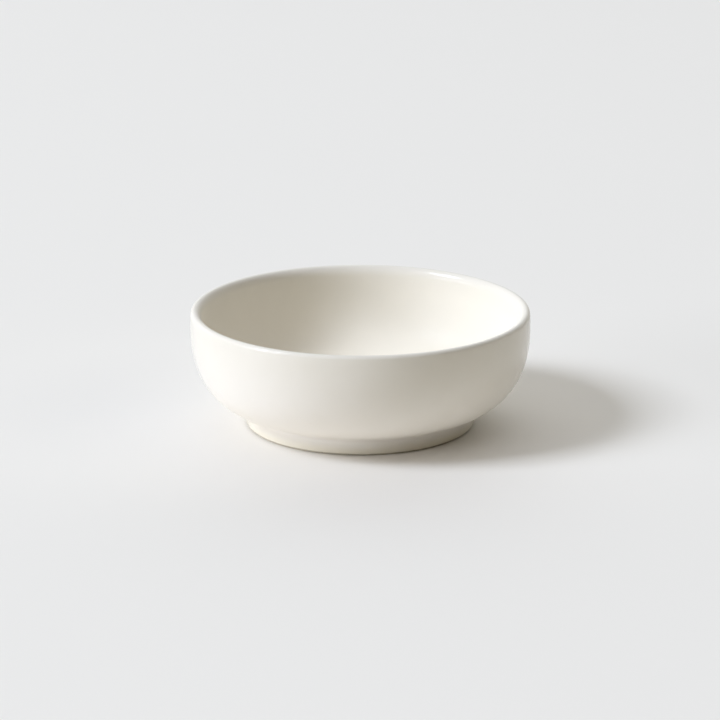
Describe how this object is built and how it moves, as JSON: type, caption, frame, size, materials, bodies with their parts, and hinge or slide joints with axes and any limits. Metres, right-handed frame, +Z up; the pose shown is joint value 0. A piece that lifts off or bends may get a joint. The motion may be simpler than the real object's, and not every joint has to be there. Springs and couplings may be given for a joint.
{
  "type": "footed dish",
  "caption": "Small round ceramic dish with an ivory glaze, a rounded wall, a slim lip and a low foot ring, for sauce, dips or condiments.",
  "frame": {"origin": "centre of the foot ring, on the face that the dish stands on", "axes": "+Z up along the axis that the dish is turned about; X and Y lie in the standing face"},
  "size_m": [0.11, 0.11, 0.038],
  "materials": {
    "fired_clay": "matt bare fired clay",
    "ivory_glaze": "smooth glossy glaze"
  },
  "bodies": {
    "root": {"clay_body": "fired_clay", "glaze_coat": "ivory_glaze", "base_glaze": "ivory_glaze"}
  },
  "joints": []
}
